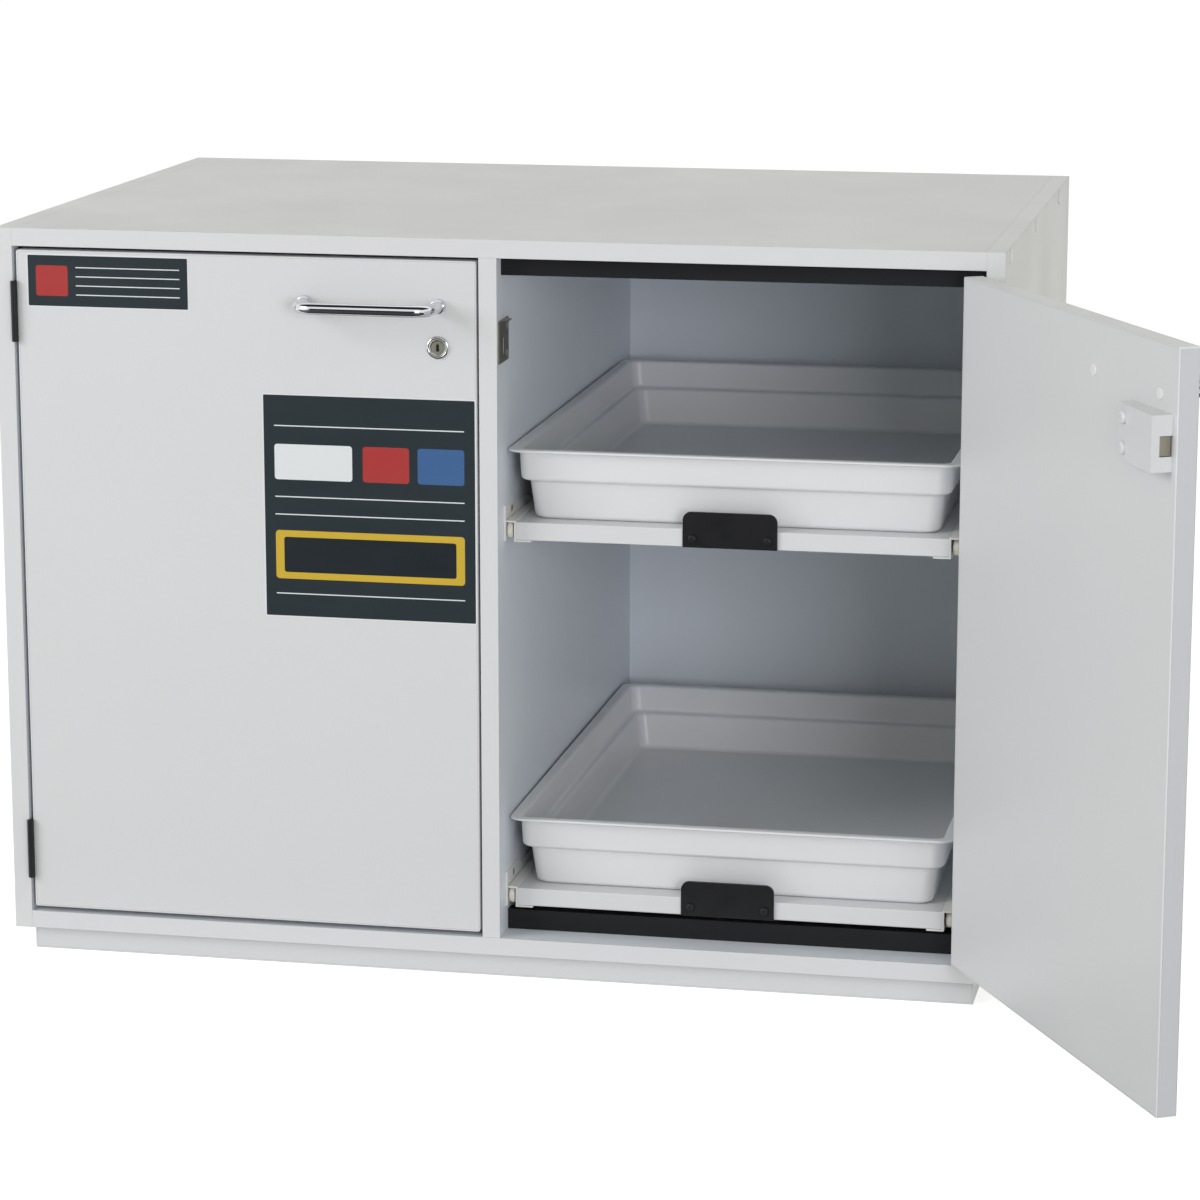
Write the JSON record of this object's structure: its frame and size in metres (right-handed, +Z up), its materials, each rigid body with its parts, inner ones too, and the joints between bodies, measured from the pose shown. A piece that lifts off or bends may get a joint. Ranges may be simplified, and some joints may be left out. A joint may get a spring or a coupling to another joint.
{
  "type": "reagent drawer cabinet",
  "caption": "Low floor-standing lab cabinet with two inset lockable hinged doors and, behind each, pull-out shelves on roller runners that carry lift-out spill trays",
  "frame": {"origin": "on the floor, under the middle of the carcass footprint (the middle of the centre plinth rail's underside)", "axes": "+X to the right as the doors are faced, +Y to the back, +Z up; the front of the side panels is at y = -0.285 m"},
  "size_m": [1.0224, 0.9235, 0.62],
  "materials": {
    "grey_board": "light grey melamine on particle board, satin",
    "cap_plastic": "moulded light grey plastic",
    "black_strip": "black closing strip, satin",
    "black_steel": "black powder coat",
    "plated_steel": "bright zinc or nickel plate",
    "chrome": "polished chrome plate",
    "nickel_strike": "dark nickel plate, dulled",
    "enamelled_steel": "white epoxy coat",
    "lock_case_enamel": "light grey coat on a die-cast case",
    "tray_plastic": "thermoformed light grey plastic, smooth",
    "roller_nylon": "natural nylon"
  },
  "bodies": {
    "carcass": {"left_side_panel": "grey_board", "right_side_panel": "grey_board", "top_panel": "grey_board", "bottom_panel": "grey_board", "centre_partition": "grey_board", "back_panel": "grey_board", "plinth_front_rail": "grey_board", "plinth_rear_rail": "grey_board", "plinth_cross_rails": "grey_board", "assembly_screws": "plated_steel", "cover_caps": "cap_plastic", "seal_strips": "black_strip", "hinge_frame_leaves": "black_steel", "hinge_pins": "black_steel", "strike_plates": "nickel_strike", "carcass_screws": "plated_steel", "runner_spacers": "grey_board", "right_upper_cabinet_rails": "enamelled_steel", "right_lower_cabinet_rails": "enamelled_steel", "left_cabinet_rails": "enamelled_steel", "left_upper_shelf": "grey_board", "left_lower_shelf": "grey_board", "left_upper_tray": "tray_plastic", "left_lower_tray": "tray_plastic", "left_pull_plates": "black_steel", "left_pull_screws": "black_steel", "left_drawer_rails": "enamelled_steel", "left_rollers": "roller_nylon"},
    "left_door": {"left_door_panel": "grey_board", "left_door_handle": "chrome", "left_door_hinge_leaves": "black_steel", "left_door_screws": "plated_steel", "left_door_caps": "cap_plastic", "left_lock_barrel": "chrome", "left_lock_case": "lock_case_enamel"},
    "left_plug": {"left_lock_plug": "plated_steel"},
    "left_bolt": {"left_lock_bolt": "plated_steel"},
    "right_door": {"right_door_panel": "grey_board", "right_door_handle": "chrome", "right_door_hinge_leaves": "black_steel", "right_door_screws": "plated_steel", "right_door_caps": "cap_plastic", "right_lock_barrel": "chrome", "right_lock_case": "lock_case_enamel"},
    "right_plug": {"right_lock_plug": "plated_steel"},
    "right_bolt": {"right_lock_bolt": "plated_steel"},
    "right_upper_drawer": {"right_upper_shelf": "grey_board", "right_upper_tray": "tray_plastic", "right_upper_pull_plate": "black_steel", "right_upper_pull_screws": "black_steel", "right_upper_drawer_rails": "enamelled_steel"},
    "right_upper_front_rollers": {"right_upper_front_rollers": "roller_nylon"},
    "right_upper_rear_rollers": {"right_upper_rear_rollers": "roller_nylon"},
    "right_lower_drawer": {"right_lower_shelf": "grey_board", "right_lower_tray": "tray_plastic", "right_lower_pull_plate": "black_steel", "right_lower_pull_screws": "black_steel", "right_lower_drawer_rails": "enamelled_steel"},
    "right_lower_front_rollers": {"right_lower_front_rollers": "roller_nylon"},
    "right_lower_rear_rollers": {"right_lower_rear_rollers": "roller_nylon"}
  },
  "joints": [
    {"name": "left_door_hinge", "type": "hinge", "parent": "carcass", "child": "left_door", "pos_m": [-0.40075, -0.2876, 0.32], "axis": [0, 0, -1], "range_deg": [0, 170]},
    {"name": "right_door_hinge", "type": "hinge", "parent": "carcass", "child": "right_door", "pos_m": [0.40075, -0.2876, 0.32], "axis": [0, 0, 1], "range_deg": [-119, 51]},
    {"name": "left_lock_turn", "type": "hinge", "parent": "left_door", "child": "left_plug", "pos_m": [-0.0415, -0.285, 0.531], "axis": [0, 1, 0], "range_deg": [0, 90]},
    {"name": "left_bolt_slide", "type": "slide", "parent": "left_door", "child": "left_bolt", "axis": [1, 0, 0], "range_m": [0, 0.017]},
    {"name": "right_lock_turn", "type": "hinge", "parent": "right_door", "child": "right_plug", "pos_m": [0.57264, -0.60307, 0.531], "axis": [0.8746, 0.4848, 0], "range_deg": [0, 90]},
    {"name": "right_bolt_slide", "type": "slide", "parent": "right_door", "child": "right_bolt", "axis": [0.4848, -0.8746, 0], "range_m": [0, 0.017]},
    {"name": "right_upper_drawer_slide", "type": "slide", "parent": "carcass", "child": "right_upper_drawer", "axis": [0, -1, 0], "range_m": [0, 0.38]},
    {"name": "right_upper_front_roller_spin", "type": "hinge", "parent": "carcass", "child": "right_upper_front_rollers", "pos_m": [0.196, -0.254, 0.3773], "axis": [1, 0, 0], "range_deg": [0, 3025]},
    {"name": "right_upper_rear_roller_spin", "type": "hinge", "parent": "right_upper_drawer", "child": "right_upper_rear_rollers", "pos_m": [0.196, 0.225, 0.3773], "axis": [1, 0, 0], "range_deg": [0, 3112]},
    {"name": "right_lower_drawer_slide", "type": "slide", "parent": "carcass", "child": "right_lower_drawer", "axis": [0, -1, 0], "range_m": [0, 0.38]},
    {"name": "right_lower_front_roller_spin", "type": "hinge", "parent": "carcass", "child": "right_lower_front_rollers", "pos_m": [0.196, -0.254, 0.0653], "axis": [1, 0, 0], "range_deg": [0, 3025]},
    {"name": "right_lower_rear_roller_spin", "type": "hinge", "parent": "right_lower_drawer", "child": "right_lower_rear_rollers", "pos_m": [0.196, 0.225, 0.0653], "axis": [1, 0, 0], "range_deg": [0, 3112]}
  ],
  "couplings": [
    {"joint": "left_lock_turn", "follows": "left_bolt_slide", "rad_per_m": 92.39},
    {"joint": "right_lock_turn", "follows": "right_bolt_slide", "rad_per_m": 92.39},
    {"joint": "right_upper_front_roller_spin", "follows": "right_upper_drawer_slide", "rad_per_m": 138.89},
    {"joint": "right_upper_rear_roller_spin", "follows": "right_upper_drawer_slide", "rad_per_m": 142.86},
    {"joint": "right_lower_front_roller_spin", "follows": "right_lower_drawer_slide", "rad_per_m": 138.89},
    {"joint": "right_lower_rear_roller_spin", "follows": "right_lower_drawer_slide", "rad_per_m": 142.86}
  ]
}
